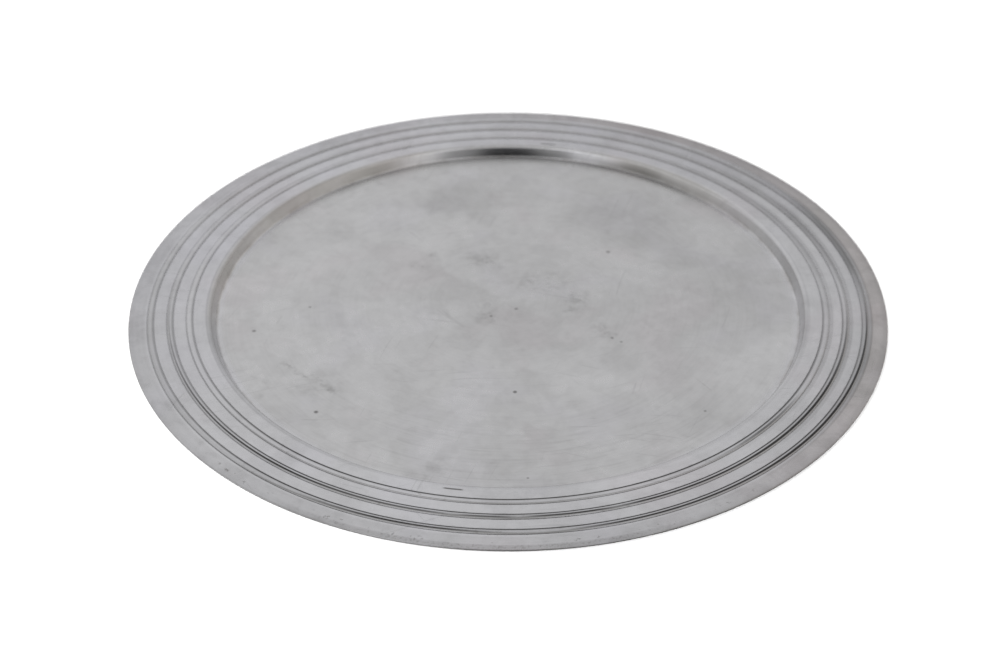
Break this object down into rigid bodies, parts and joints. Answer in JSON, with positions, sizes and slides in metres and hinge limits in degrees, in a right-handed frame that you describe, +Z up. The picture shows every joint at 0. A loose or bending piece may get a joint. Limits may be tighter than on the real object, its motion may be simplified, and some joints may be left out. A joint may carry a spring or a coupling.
{
  "type": "offering plate",
  "caption": "Round shallow metal plate with a bare flat well and a broad, nearly level rim carrying raised half-round reeds, for collecting or presenting offerings.",
  "frame": {"origin": "centre of the underside of the base, at the level of the table the plate stands on", "axes": "+Z up, square to the plate, along its axis of revolution; X and Y lie in the base, and the plate is the same all the way round"},
  "size_m": [0.305, 0.305, 0.0065],
  "materials": {
    "sheet_silver": "satin, dulled silver plate with light tarnish, fine scratches and faint spinning marks",
    "wire_silver": "satin silver plate, worn bright on the crown and tarnished dark in the seams"
  },
  "bodies": {
    "root": {"dish": "sheet_silver", "inner_reed": "wire_silver", "middle_reed": "wire_silver", "outer_reed": "wire_silver"}
  },
  "joints": []
}
